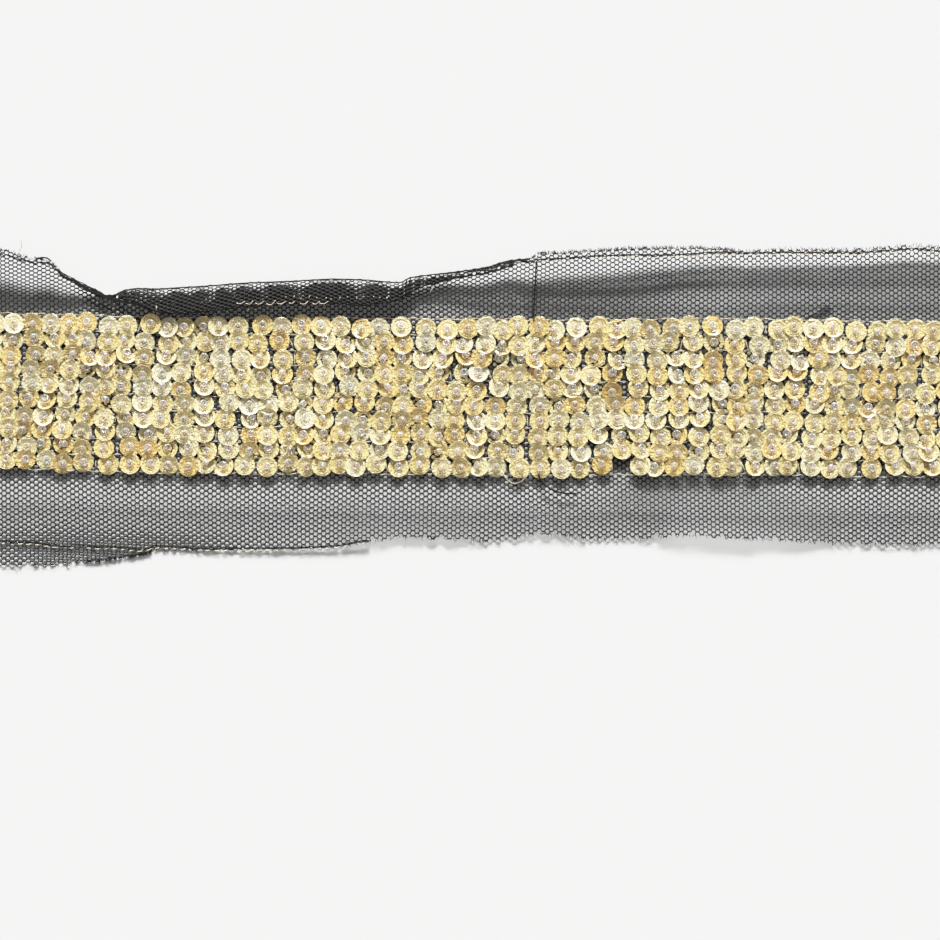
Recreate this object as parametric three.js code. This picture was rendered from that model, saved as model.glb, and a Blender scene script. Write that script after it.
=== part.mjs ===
// A cut length of sequin trim: ten rows of beaded cup sequins on a black tulle ground, lying flat
// with its upper margin partly folded over. Millimetres, +Z up, X along the trim, Y across it.
// The origin is the middle of the trim on the surface that it lies on.
import * as THREE from "three";

// Driving dimensions
const NET_THICKNESS = 1.0; // the tulle's solid, thicker than its threads
const SEWN_GAP = 0.3; // between the tulle and the sequins sewn on it
const BAND_WIDTH = 34.4; // the sequinned band, over its ten rows
const ROW_COUNT = 10;
const ROW_PITCH = 3.4;
const SEQUIN_PITCH = 4.35; // along a row
const SEQUIN_COUNT = 52; // in a row
const SEQUIN_RADIUS = 2.15;
const SEQUIN_THICKNESS = 0.8; // the cup, rim to foot
const BEAD_RISE = 0.9; // the bead's top above the cup's rim
const ROW_HALF_WIDTH = 1.55; // where the next row covers a cup
const NECK_HALF_WIDTH = 0.85; // the row between two cups
const MISSING = { row: 9, column: 33, halfWidth: 0.5 }; // a sequin that has come off
const LEAN = { long: 0.75, short: 0.45, loose: 0.6 }; // how far the sequins stray along a row

const NET_COLOUR = 0x26262b;
const SEQUIN_COLOUR = 0xd8bd83;

// The tulle's shape: a row for each section along the trim. Y is across the trim and Z is the
// height of the cloth's middle above where it lies flat.
//   lowY, lowZ      the lower raw edge
//   bandY, bandZ    the middle of the sequinned band
//   footY           where the upper margin leaves the surface
//   crestY, crestZ  the upper margin's outermost line, or the crest of its fold
//   edgeY, edgeZ    the upper raw edge, below the crest where the margin is folded over
const SECTION_COLUMNS = [
  "x", "lowY", "lowZ", "bandY", "bandZ", "footY", "crestY", "crestZ", "edgeY", "edgeZ",
];
const SECTION_ROWS = [
  [-115.0, -35.6, 0.6, 3.2, 0.0, 24.8, 28.9, 2.5, 34.5, 3.3],
  [-104.4, -35.6, 0.6, 3.1, 0.0, 24.6, 28.7, 2.5, 34.6, 3.35],
  [-97.8, -35.6, 0.8, 3.0, 0.0, 23.9, 27.9, 2.4, 32.8, 3.1],
  [-93.3, -35.7, 0.6, 2.9, 0.0, 23.4, 27.2, 1.9, 32.2, 2.5],
  [-90.4, -35.7, 0.5, 2.8, 0.0, 23.2, 26.4, 1.3, 29.5, 1.8],
  [-86.7, -34.9, 0.4, 2.7, 0.0, 23.0, 25.6, 0.8, 27.5, 1.0],
  [-82.9, -34.8, 0.3, 2.6, 0.0, 22.6, 24.8, 0.7, 25.8, 1.0],
  [-79.6, -34.3, 0.3, 2.5, 0.0, 22.4, 24.4, 1.1, 24.0, 1.7],
  [-76.4, -33.8, 0.3, 2.4, 0.0, 22.7, 25.5, 1.2, 23.2, 2.0],
  [-73.3, -33.4, 0.4, 2.3, 0.0, 23.0, 25.9, 1.3, 22.2, 2.1],
  [-69.6, -32.2, 0.5, 2.2, 0.0, 23.0, 25.8, 1.4, 20.8, 2.2],
  [-64.4, -32.2, 0.9, 2.1, 0.0, 23.4, 26.1, 1.4, 20.3, 2.2],
  [-57.8, -32.4, 1.2, 2.0, 0.0, 23.8, 26.5, 1.4, 21.0, 2.2],
  [-50.0, -32.2, 1.1, 2.0, 0.0, 24.3, 27.1, 1.4, 21.8, 2.2],
  [-40.0, -32.1, 1.3, 2.0, 0.0, 24.7, 27.5, 1.4, 22.6, 2.2],
  [-30.0, -31.6, 1.5, 2.0, 0.0, 25.2, 28.0, 1.4, 22.6, 2.2],
  [-23.3, -30.5, 1.6, 2.0, 0.0, 25.0, 27.8, 1.4, 22.3, 2.2],
  [-18.9, -30.2, 1.2, 1.9, 0.0, 24.7, 27.4, 1.4, 22.7, 2.3],
  [-15.6, -29.5, 1.0, 1.9, 0.0, 24.5, 27.2, 1.4, 23.4, 2.3],
  [-13.3, -29.6, 1.0, 1.9, 0.0, 25.2, 28.3, 1.3, 24.7, 2.2],
  [-10.7, -29.6, 1.1, 1.9, 0.0, 25.7, 28.7, 1.2, 26.3, 2.1],
  [-7.3, -29.7, 1.2, 1.8, 0.0, 26.2, 29.1, 1.2, 27.2, 2.0],
  [-2.2, -30.2, 1.2, 1.8, 0.0, 26.6, 29.7, 1.3, 28.4, 2.1],
  [3.3, -30.3, 0.8, 1.8, 0.0, 27.0, 30.5, 1.4, 29.2, 2.2],
  [9.1, -29.8, 0.4, 1.7, 0.0, 27.1, 32.1, 1.6, 30.9, 2.3],
  [13.3, -28.9, 0.3, 1.7, 0.0, 26.9, 32.4, 1.9, 32.6, 2.35],
  [15.8, -28.8, 0.4, 1.6, 0.0, 26.6, 30.6, 1.9, 33.7, 2.4],
  [20.0, -29.1, 0.5, 1.6, 0.0, 26.6, 29.4, 1.9, 33.9, 2.35],
  [28.9, -29.8, 0.6, 1.7, 0.1, 27.0, 29.6, 2.0, 34.4, 2.4],
  [37.8, -29.8, 0.9, 1.8, 0.4, 27.4, 30.2, 1.9, 34.9, 2.1],
  [47.8, -29.2, 2.0, 1.8, 0.6, 28.4, 31.4, 1.5, 35.0, 1.6],
  [55.6, -29.4, 2.2, 1.8, 0.6, 28.4, 31.8, 1.3, 34.8, 1.35],
  [61.1, -29.8, 2.1, 1.8, 0.4, 28.2, 31.9, 1.15, 34.2, 1.2],
  [71.1, -30.2, 1.4, 1.7, 0.1, 28.2, 32.0, 1.1, 34.7, 1.3],
  [84.4, -30.8, 0.8, 1.4, 0.0, 28.0, 32.0, 1.0, 34.6, 1.15],
  [99.3, -31.1, 0.6, 1.3, 0.0, 28.2, 32.2, 0.95, 35.5, 1.1],
  [104.4, -31.1, 0.6, 1.3, 0.0, 28.2, 32.2, 0.95, 35.0, 1.1],
  [115.0, -31.3, 0.5, 1.3, 0.0, 28.2, 32.2, 0.9, 34.8, 1.05],
];
const LONGEST_SPAN = 7; // between two sections of the solid
// How many steps the solid has between the profile's control points, from the lower raw edge up.
const PROFILE_STEPS = [2, 2, 1, 2, 2, 2, 2, 2, 2];

// How the margins bend between the table's lines
const BAND_EDGE = BAND_WIDTH / 2 + 0.5; // from the band's middle to where the margins begin
const LOW_BEND = { reach: 5, lift: 0.35 }; // where most of the lower margin's lift has gone
const FOOT_HEIGHT = 0.05; // at the foot of the raised upper margin
const SLOPE_LIFT = 0.55; // halfway up to the crest, as a share of the crest's height
const FOLD_NOSE = { reach: 0.22, lift: 1.02 }; // the fold's round nose, as shares of the flap
const FULL_FOLD = 2; // the flap's width from which the fold is a tight one

const SECTIONS = Object.fromEntries(
  SECTION_COLUMNS.map((name, i) => [name, SECTION_ROWS.map((row) => row[i])]),
);
const SECTION_SLOPES = Object.fromEntries(
  SECTION_COLUMNS.map((name) => [name, slopesOf(SECTIONS.x, SECTIONS[name])]),
);

// Slopes of a smooth curve through points that never swings past them.
function slopesOf(xs, ys) {
  const rise = ys.slice(1).map((y, i) => (y - ys[i]) / (xs[i + 1] - xs[i]));
  return ys.map((_, i) => {
    if (i === 0) return rise[0];
    if (i === ys.length - 1) return rise[i - 1];
    const [before, after] = [rise[i - 1], rise[i]];
    return before * after > 0 ? (2 * before * after) / (before + after) : 0;
  });
}

// One column of the section table at any x, on that smooth curve.
function sectionValue(name, x) {
  const xs = SECTIONS.x;
  const ys = SECTIONS[name];
  const slopes = SECTION_SLOPES[name];
  let i = 0;
  while (i < xs.length - 2 && x > xs[i + 1]) i++;
  const span = xs[i + 1] - xs[i];
  const t = (x - xs[i]) / span;
  const s = 1 - t;
  return (
    s * s * (1 + 2 * t) * ys[i] +
    t * t * (3 - 2 * t) * ys[i + 1] +
    s * s * t * span * slopes[i] -
    t * t * s * span * slopes[i + 1]
  );
}

// The points that the cloth's middle passes through at x, from the lower raw edge to the upper.
function profilePoints(x) {
  const at = (name) => sectionValue(name, x);
  const [lowY, lowZ, bandY, bandZ] = ["lowY", "lowZ", "bandY", "bandZ"].map(at);
  const [footY, crestY, crestZ] = ["footY", "crestY", "crestZ"].map(at);
  const [edgeY, edgeZ] = ["edgeY", "edgeZ"].map(at);
  const { lerp, clamp } = THREE.MathUtils;
  const folded = clamp((crestY - edgeY) / FULL_FOLD, 0, 1);
  const nose = FOLD_NOSE.reach * Math.abs(crestY - edgeY);
  const noseZ = crestZ + FOLD_NOSE.lift * (edgeZ - crestZ);
  return [
    [lowY, lowZ],
    [lowY + LOW_BEND.reach, lowZ * LOW_BEND.lift],
    [bandY - BAND_EDGE, bandZ],
    [bandY + BAND_EDGE, bandZ],
    [(bandY + BAND_EDGE + footY) / 2, bandZ / 2],
    [footY, FOOT_HEIGHT],
    [
      lerp((footY + crestY) / 2, crestY - nose, folded),
      lerp(crestZ * SLOPE_LIFT, 2 * crestZ - noseZ, folded),
    ],
    [crestY, crestZ],
    [
      lerp((crestY + edgeY) / 2, crestY - nose, folded),
      lerp((crestZ + edgeZ) / 2, noseZ, folded),
    ],
    [edgeY, edgeZ],
  ].map(([y, z]) => new THREE.Vector3(0, y, z));
}

// The cloth's middle line at x, as points spaced by PROFILE_STEPS.
function profileLine(x) {
  const points = profilePoints(x);
  const curve = new THREE.CatmullRomCurve3(points, false, "centripetal");
  const last = points.length - 1;
  const line = [];
  PROFILE_STEPS.forEach((steps, k) => {
    for (let i = 0; i < steps; i++) line.push(curve.getPoint((k + i / steps) / last));
  });
  line.push(curve.getPoint(1));
  line.forEach((point) => (point.z = Math.max(point.z, 0)));
  return line;
}

// The two faces of the cloth at x: each point of its middle line, moved half a thickness to
// either side. All stand NET_THICKNESS / 2 higher, so that flat cloth rests at Z 0.
function profileFaces(x) {
  const line = profileLine(x);
  const half = NET_THICKNESS / 2;
  return line.map((point, i) => {
    const before = line[Math.max(i - 1, 0)];
    const after = line[Math.min(i + 1, line.length - 1)];
    const along = new THREE.Vector3().subVectors(after, before).normalize();
    const offset = new THREE.Vector3(0, -along.z, along.y).multiplyScalar(half);
    const middle = new THREE.Vector3(x, point.y, point.z + half);
    return { front: middle.clone().add(offset), back: middle.clone().sub(offset) };
  });
}

// Where the sheet's sections are: at each row of the table, with more between distant rows.
function sectionPlaces() {
  const places = [];
  SECTIONS.x.forEach((x, i) => {
    if (i > 0) {
      const before = SECTIONS.x[i - 1];
      const parts = Math.ceil((x - before) / LONGEST_SPAN);
      for (let k = 1; k < parts; k++) places.push(before + ((x - before) * k) / parts);
    }
    places.push(x);
  });
  return places;
}

function geometryOf(vertices, triangles) {
  const geometry = new THREE.BufferGeometry();
  const positions = vertices.flatMap((v) => v.toArray());
  geometry.setAttribute("position", new THREE.Float32BufferAttribute(positions, 3));
  geometry.setIndex(triangles.flat());
  geometry.computeVertexNormals();
  return geometry;
}

function quad(a, b, c, d) {
  return [
    [a, b, c],
    [a, c, d],
  ];
}

// The tulle: each section is a closed ring, up the back face and down the front one.
function tulleGeometry() {
  const rings = sectionPlaces().map((x) => {
    const faces = profileFaces(x);
    return [...faces.map((f) => f.back), ...faces.map((f) => f.front).reverse()];
  });
  const size = rings[0].length;
  const triangles = [];
  for (let s = 0; s + 1 < rings.length; s++) {
    for (let i = 0; i < size; i++) {
      const j = (i + 1) % size;
      const [here, next] = [s * size, (s + 1) * size];
      triangles.push(...quad(here + i, here + j, next + j, next + i));
    }
  }
  const last = (rings.length - 1) * size;
  for (let i = 0; i < size / 2 - 1; i++) {
    const j = size - 1 - i;
    triangles.push(...quad(i, j, j - 1, i + 1));
    triangles.push(...quad(last + i, last + i + 1, last + j - 1, last + j));
  }
  return geometryOf(rings.flat(), triangles);
}

// A repeatable scatter from -1 to 1 for a sequin's row and column.
function scatter(row, column, kind) {
  const wave = Math.sin(row * 12.9898 + column * 78.233 + kind * 37.719) * 43758.5453;
  return 2 * (wave - Math.floor(wave)) - 1;
}

// Where along the trim a sequin is. The columns lean and crowd a little, in two slow waves.
function sequinX(row, column) {
  const even = (column + 0.5 - SEQUIN_COUNT / 2) * SEQUIN_PITCH;
  if (column === 0 || column === SEQUIN_COUNT - 1) return even;
  const longWave = LEAN.long * Math.sin(0.31 * column + 0.45 * row);
  const shortWave = LEAN.short * Math.sin(0.83 * column - 0.7 * row);
  return even + longWave + shortWave + LEAN.loose * scatter(row, column, 1);
}

// One row of cups: six-sided from above, each rising to its bead, joined neck to neck.
function sequinRowGeometry(row) {
  const vertices = [];
  const triangles = [];
  const lineY = (x) => sectionValue("bandY", x) + ((ROW_COUNT - 1) / 2 - row) * ROW_PITCH;
  const footZ = (x) => NET_THICKNESS + sectionValue("bandZ", x) + SEWN_GAP;
  const above = row === 0 ? SEQUIN_RADIUS : ROW_HALF_WIDTH;
  const below = row === ROW_COUNT - 1 ? SEQUIN_RADIUS : ROW_HALF_WIDTH;
  // Adds a cut across the row and gives its first corner: two on the foot, then two on the rim.
  const addCut = (x, down, up) => {
    const corners = [
      [-down, 0],
      [up, 0],
      [up, SEQUIN_THICKNESS],
      [-down, SEQUIN_THICKNESS],
    ];
    for (const [reach, rise] of corners) {
      vertices.push(new THREE.Vector3(x, lineY(x) + reach, footZ(x) + rise));
    }
    return vertices.length - corners.length;
  };
  // Joins two cuts under the row and along its sides, and closes its top up to the bead.
  const joinCuts = (a, b, bead) => {
    triangles.push(...quad(a + 1, b + 1, b, a));
    triangles.push(...quad(a + 2, b + 2, b + 1, a + 1));
    triangles.push(...quad(a, b, b + 3, a + 3));
    triangles.push([a + 3, b + 3, bead], [b + 2, a + 2, bead]);
  };
  const start = sequinX(row, 0) - SEQUIN_RADIUS;
  const firstNeck = addCut(start, NECK_HALF_WIDTH, NECK_HALF_WIDTH);
  let neck = firstNeck;
  for (let column = 0; column < SEQUIN_COUNT; column++) {
    const x = sequinX(row, column);
    const isLast = column === SEQUIN_COUNT - 1;
    const nextX = isLast ? x + SEQUIN_RADIUS : (x + sequinX(row, column + 1)) / 2;
    const missing = row === MISSING.row && column === MISSING.column;
    const middle = missing
      ? addCut(x, MISSING.halfWidth, MISSING.halfWidth)
      : addCut(x, below, above);
    const nextNeck = addCut(nextX, NECK_HALF_WIDTH, NECK_HALF_WIDTH);
    const bead = vertices.length;
    const beadZ = footZ(x) + SEQUIN_THICKNESS + (missing ? 0 : BEAD_RISE);
    vertices.push(new THREE.Vector3(x, lineY(x), beadZ));
    joinCuts(neck, middle, bead);
    joinCuts(middle, nextNeck, bead);
    triangles.push([neck + 2, neck + 3, bead], [nextNeck + 3, nextNeck + 2, bead]);
    neck = nextNeck;
  }
  triangles.push(...quad(firstNeck, firstNeck + 3, firstNeck + 2, firstNeck + 1));
  triangles.push(...quad(neck + 1, neck + 2, neck + 3, neck));
  return geometryOf(vertices, triangles);
}

const trim = new THREE.Group();

const netMaterial = new THREE.MeshStandardMaterial({
  color: NET_COLOUR,
  roughness: 0.85,
  metalness: 0,
  side: THREE.DoubleSide,
});
const tulle = new THREE.Mesh(tulleGeometry(), netMaterial);
tulle.name = "tulle_ground";
trim.add(tulle);

const sequinMaterial = new THREE.MeshStandardMaterial({
  color: SEQUIN_COLOUR,
  roughness: 0.3,
  metalness: 0.85,
});
for (let row = 0; row < ROW_COUNT; row++) {
  const sequins = new THREE.Mesh(sequinRowGeometry(row), sequinMaterial);
  sequins.name = `sequin_row_${String(row + 1).padStart(2, "0")}`;
  trim.add(sequins);
}

export default trim;
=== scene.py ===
"""Beaded sequin trim on black tulle, lying flat: the net, the cups, the beads and the stitches."""
import math
from functools import partial
import bpy
import numpy as np
from mathutils import Matrix, Vector


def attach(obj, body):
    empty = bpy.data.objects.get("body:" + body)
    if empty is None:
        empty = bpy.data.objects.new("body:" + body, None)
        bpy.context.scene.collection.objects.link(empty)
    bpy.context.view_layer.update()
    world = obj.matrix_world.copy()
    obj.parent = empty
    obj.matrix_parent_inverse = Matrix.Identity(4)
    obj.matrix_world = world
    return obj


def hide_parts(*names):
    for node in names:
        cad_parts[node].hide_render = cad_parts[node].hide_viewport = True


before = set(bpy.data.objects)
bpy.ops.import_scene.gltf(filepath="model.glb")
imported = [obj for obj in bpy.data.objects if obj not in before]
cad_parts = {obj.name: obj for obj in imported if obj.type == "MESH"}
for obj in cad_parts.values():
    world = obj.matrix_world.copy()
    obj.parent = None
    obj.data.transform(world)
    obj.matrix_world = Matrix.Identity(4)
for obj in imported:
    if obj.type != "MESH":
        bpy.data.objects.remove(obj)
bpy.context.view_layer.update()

# Sizes are in millimetres. X runs along the trim and Y across it, as in the frame.
MM = 0.001
SEED = 7

# The sequinned band
ROW_COUNT = 10
ROW_PITCH = 3.4
SEQUIN_PITCH = 4.35
SEQUIN_COUNT = 52
SEQUIN_RADIUS = 2.32
BAND_EDGE = 17.7  # from the band's middle to where the margins begin
MISSING = (9, 33)  # row and column of a sequin that has come off
LEAN_LONG, LEAN_SHORT, LEAN_LOOSE = 0.75, 0.45, 0.6  # how far the sequins stray along a row
ROW_LOOSE = 0.55  # and across it
ROW_STEP, COLUMN_STEP = 0.36, 0.5  # height between a cup and a neighbour that it lies over
TILT_LOOSE = 0.19  # in radians

# The tulle's shape: a row for each section along the trim. Z is the cloth's height above where it
# lies flat. All is as in the CAD but lowZ, which is less here, because the net floats over it.
#   lowY, lowZ      the lower raw edge
#   bandY, bandZ    the middle of the sequinned band
#   footY           where the upper margin leaves the surface
#   crestY, crestZ  the upper margin's outermost line, or the crest of its fold
#   edgeY, edgeZ    the upper raw edge, below the crest where the margin is folded over
SECTION_COLUMNS = "x lowY lowZ bandY bandZ footY crestY crestZ edgeY edgeZ".split()
SECTION_ROWS = (
    (-115, -35.6, 0.25, 3.2, 0, 24.8, 28.9, 2.5, 34.5, 3.3),
    (-104.4, -35.6, 0.2, 3.1, 0, 24.6, 28.7, 2.5, 34.6, 3.35),
    (-97.8, -35.6, 0.1, 3, 0, 23.9, 27.9, 2.4, 32.8, 3.1),
    (-93.3, -35.7, 0, 2.9, 0, 23.4, 27.2, 1.9, 32.2, 2.5),
    (-90.4, -35.7, 0, 2.8, 0, 23.2, 26.4, 1.3, 29.5, 1.8),
    (-86.7, -34.9, 0, 2.7, 0, 23, 25.6, 0.8, 27.5, 1),
    (-82.9, -34.8, 0, 2.6, 0, 22.6, 24.8, 0.7, 25.8, 1),
    (-79.6, -34.3, 0, 2.5, 0, 22.4, 24.4, 1.1, 24, 1.7),
    (-76.4, -33.8, 0, 2.4, 0, 22.7, 25.5, 1.2, 23.2, 2),
    (-73.3, -33.4, 0, 2.3, 0, 23, 25.9, 1.3, 22.2, 2.1),
    (-69.6, -32.2, 0, 2.2, 0, 23, 25.8, 1.4, 20.8, 2.2),
    (-64.4, -32.2, 0, 2.1, 0, 23.4, 26.1, 1.4, 20.3, 2.2),
    (-57.8, -32.4, 0.1, 2, 0, 23.8, 26.5, 1.4, 21, 2.2),
    (-50, -32.2, 0.2, 2, 0, 24.3, 27.1, 1.4, 21.8, 2.2),
    (-40, -32.1, 0.3, 2, 0, 24.7, 27.5, 1.4, 22.6, 2.2),
    (-30, -31.6, 0.5, 2, 0, 25.2, 28, 1.4, 22.6, 2.2),
    (-23.3, -30.5, 0.9, 2, 0, 25, 27.8, 1.4, 22.3, 2.2),
    (-18.9, -30.2, 0.9, 1.9, 0, 24.7, 27.4, 1.4, 22.7, 2.3),
    (-15.6, -29.5, 0.75, 1.9, 0, 24.5, 27.2, 1.4, 23.4, 2.3),
    (-13.3, -29.6, 0.75, 1.9, 0, 25.2, 28.3, 1.3, 24.7, 2.2),
    (-10.7, -29.6, 0.75, 1.9, 0, 25.7, 28.7, 1.2, 26.3, 2.1),
    (-7.3, -29.7, 0.75, 1.8, 0, 26.2, 29.1, 1.2, 27.2, 2),
    (-2.2, -30.2, 0.75, 1.8, 0, 26.6, 29.7, 1.3, 28.4, 2.1),
    (3.3, -30.3, 0.35, 1.8, 0, 27, 30.5, 1.4, 29.2, 2.2),
    (9.1, -29.8, 0.3, 1.7, 0, 27.1, 32.1, 1.6, 30.9, 2.3),
    (13.3, -28.9, 0.6, 1.7, 0, 26.9, 32.4, 1.9, 32.6, 2.35),
    (15.8, -28.8, 0.6, 1.6, 0, 26.6, 30.6, 1.9, 33.7, 2.4),
    (20, -29.1, 0.5, 1.6, 0, 26.6, 29.4, 1.9, 33.9, 2.35),
    (28.9, -29.8, 0.25, 1.7, 0.1, 27, 29.6, 2, 34.4, 2.4),
    (37.8, -29.8, 0.35, 1.8, 0.4, 27.4, 30.2, 1.9, 34.9, 2.1),
    (47.8, -29.2, 1.6, 1.8, 0.6, 28.4, 31.4, 1.5, 35, 1.6),
    (55.6, -29.4, 1.7, 1.8, 0.6, 28.4, 31.8, 1.3, 34.8, 1.35),
    (61.1, -29.8, 1.6, 1.8, 0.4, 28.2, 31.9, 1.15, 34.2, 1.2),
    (71.1, -30.2, 1.2, 1.7, 0.1, 28.2, 32, 1.1, 34.7, 1.3),
    (84.4, -30.8, 0.35, 1.4, 0, 28, 32, 1, 34.6, 1.15),
    (99.3, -31.1, 0.35, 1.3, 0, 28.2, 32.2, 0.95, 35.5, 1.1),
    (104.4, -31.1, 0.35, 1.3, 0, 28.2, 32.2, 0.95, 35, 1.1),
    (115, -31.3, 0.3, 1.3, 0, 28.2, 32.2, 0.9, 34.8, 1.05),
)
LOW_BEND_REACH, LOW_BEND_LIFT = 5.0, 0.35
FOOT_HEIGHT = 0.05
SLOPE_LIFT = 0.55
NOSE_REACH, NOSE_LIFT = 0.22, 1.02
FULL_FOLD = 2.0
HEM_TURN = 0.66  # share of the folded flap's width that its edge is turned in
HEM_FROM, HEM_FULL = 0.7, 1.7  # flap widths between which that turn grows to its full share
HEM_CURL = 0.24  # radius of that turn
FLAP_LIGHT, FLAP_THREADS = 1.3, 1.85  # width of the flap's light rows, and how dense the rest is
CREST_THREADS, CREST_UNDER = 0.8, 0.45  # how dense the net looks in those rows, and just below them
UNDER_THREADS = 1.65  # and below the rest of the flap, where it lies double
NARROW_FLAP, WIDE_FLAP = 1.4, 2.6  # widths between which the flap gets these looks
CUSP, CUSP_REACH, CUSP_SHADE_THREADS = -81.0, 3.4, 0.9  # where the flap begins, and how much thicker its net is drawn there, as painted shade of the fold
# Where the upper margin lies lower: place along the trim, reach, and share of its height lost
DIPS = ((CUSP, CUSP_REACH, 0.8), (-7.0, 6.0, 0.25))

# The net: flat-topped hexagons in staggered columns
COLUMN_PITCH = 0.90
CELL_HEIGHT = 1.17
BAR_HALF = 0.30  # half the length of a cell's top and bottom bars
BAR_THREAD = 0.172  # half the width of a bar, where two threads lie side by side
SLANT_THREAD = 0.124  # half the width of a slanting thread
NET_THICKNESS = 0.39
# How high the net's middle floats over its cloth: distance from the band's middle, and height
NET_FLOAT = ((-33.0, 0.38), (-24.0, 0.85), (-17.7, 0.50), (17.7, 0.50), (22.7, 0.85))
SEWN_AND_SHADE_THREADS = 1.55  # how much thicker the net looks in the band: partly its sewing threads, partly painted shade in the gaps between the cups
EVEN_RISE = 0.7  # how nearly the upper margin's net rises in a straight line from the band
# Where the upper margin's net is drawn together: place along the trim, and share of its width lost
GATHER = ((-90.0, 0.23), (-78.0, 0.30), (-10.0, 0.30), (10.0, 0.14), (42.0, 0.10), (55.0, 0.0))
GATHER_FROM = 22.0  # distance from the band's middle
NET_REACH = (115.0, 42.0)  # how far the lattice goes along and across, before it is cut
NET_LOOSE, NET_UNEVEN = 0.014, 0.012  # how far its nodes stray over the cloth, and off it
# Waves in it. Each wave here and below is a size, a rate and a start.
NET_WAVES = ((0.22, 0.062, 1.3), (0.10, 0.19, 0.0))
# Its pieces: name, where each begins and ends, how thick its threads look, and what they cover
ZONES = (
    ("tulle_lower_margin", -99.0, -16.4, 1.0, 0.47),
    # the band's net is drawn thicker, partly for its sewing threads and partly as painted shade between
    # the cups
    ("tulle_band", -16.4, 16.9, SEWN_AND_SHADE_THREADS, 0.68),
    ("tulle_upper_margin", 16.9, 99.0, 1.0, 0.50),
)

# The raw edges: how far inside them the net ends, and how many of its cut threads stick out
CUT_INSET, CUT_END, STUB_SHARE = 0.25, 114.6, 0.8
CUT_WAVES = ((0.18, 1.7, 0.0), (0.15, 4.1, 1.0))
TIP_WIDTH, TIP_THICKNESS = 0.55, 0.6  # of such an end, as shares of the thread's own

# The cups and beads
CUP_FOOT = 0.74  # height of a cup's foot
CUP_DEPTH = 0.60
CUP_FILM = 0.07
CUP_STEPS = 24
CUP_OVAL, CUP_BEND = 0.025, 0.10  # how uneven the cups are
HOLE_RADIUS = 0.30
BEAD_RADIUS = 1.06
BEAD_HEIGHT = 1.46
BEAD_HOLE = 0.22
BEAD_STEPS, BEAD_RING_STEPS = 16, 10
BEAD_SQUARE = 0.78  # below 1 squares a bead's section a little
BEAD_LOOSE, BEAD_WOBBLE = 0.05, 0.2  # how much the beads differ in size, and in tilt
BEAD_ON_SIDE = 0.6  # the scatter above which a bead lies on its side

# The view: 940 pixels span the photograph's 208.9 mm, and its middle is a little below the band's
PIXELS = 940
PIXELS_PER_MM = 4.5
ZERO_PIXEL = 405.0  # where the frame's Y is 0 in the photograph, from its top
VIEW_MIDDLE = (0.0, -14.44)
CAMERA_HEIGHT = 900.0

FLOOR_COLOUR, FLOOR_HALF = (0.855, 0.855, 0.838), 3.0

# The light, in watts and degrees
LIGHT_HEIGHT = 30.0
SUN_STRENGTH, SUN_WIDTH = 3.65, 16.0
WINDOW_STRENGTH = 31.5
WINDOW_HALF_WIDTH, WINDOW_HALF_HEIGHT, WINDOW_SOFT = 0.42, 0.075, 0.04
SKY = 0.26
# Brightness before and after, where 1 is white
TONE_CURVE = ((0.5, 0.5), (0.8, 0.735), (1.2, 0.9), (1.6, 0.965), (2.4, 1.0))


def waves(u, table):
    """The sum of a table's waves at u."""
    return sum(size * np.sin(rate * u + start) for size, rate, start in table)


def section_slopes(xs, ys):
    """Slopes of a smooth curve through points that never swings past them."""
    rise = np.diff(ys) / np.diff(xs)
    before, after = rise[:-1], rise[1:]
    same_way = before * after > 0
    total = np.where(same_way, before + after, 1.0)
    inner = np.where(same_way, 2 * before * after / total, 0.0)
    return np.concatenate([rise[:1], inner, rise[-1:]])


def between(t, start, end, out, into):
    """A smooth curve from start to end, which leaves with slope out and arrives with slope into."""
    s = 1 - t
    return s * s * (1 + 2 * t) * start + t * t * (3 - 2 * t) * end + s * s * t * out - t * t * s * into


def section_values(name, x):
    """One column of the section table at any x."""
    table = np.array(SECTION_ROWS)
    xs = table[:, 0]
    ys = table[:, SECTION_COLUMNS.index(name)]
    x = np.asarray(x, dtype=float)
    i = np.clip(np.searchsorted(xs, x, side="left") - 1, 0, len(xs) - 2)
    span = xs[i + 1] - xs[i]
    slopes = section_slopes(xs, ys)
    return between((x - xs[i]) / span, ys[i], ys[i + 1], span * slopes[i], span * slopes[i + 1])


def profile_points(x):
    """The points that the cloth passes through at each x, from the lower raw edge to the upper."""
    low_y, low_z, band_y, band_z, foot_y, crest_y, crest_z, edge_y, edge_z = (
        section_values(name, x) for name in SECTION_COLUMNS[1:]
    )
    folded = np.clip((crest_y - edge_y) / FULL_FOLD, 0, 1)
    nose = NOSE_REACH * np.abs(crest_y - edge_y)
    nose_z = crest_z + NOSE_LIFT * (edge_z - crest_z)

    def mix(flat, over):
        return flat + (over - flat) * folded

    top = band_y + BAND_EDGE
    before_y = mix((foot_y + crest_y) / 2, crest_y - nose)
    after_y = mix((crest_y + edge_y) / 2, crest_y - nose)
    points = [
        (low_y, low_z),
        (low_y + LOW_BEND_REACH, low_z * LOW_BEND_LIFT),
        (band_y - BAND_EDGE, band_z),
        (top, band_z),
        ((top + foot_y) / 2, band_z / 2),
        (foot_y, np.full_like(folded, FOOT_HEIGHT)),
        (before_y, mix(crest_z * SLOPE_LIFT, 2 * crest_z - nose_z)),
        (crest_y, crest_z),
        (after_y, mix((crest_z + edge_z) / 2, nose_z)),
        (edge_y, edge_z),
    ]
    return np.array(points).transpose(2, 0, 1)


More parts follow.
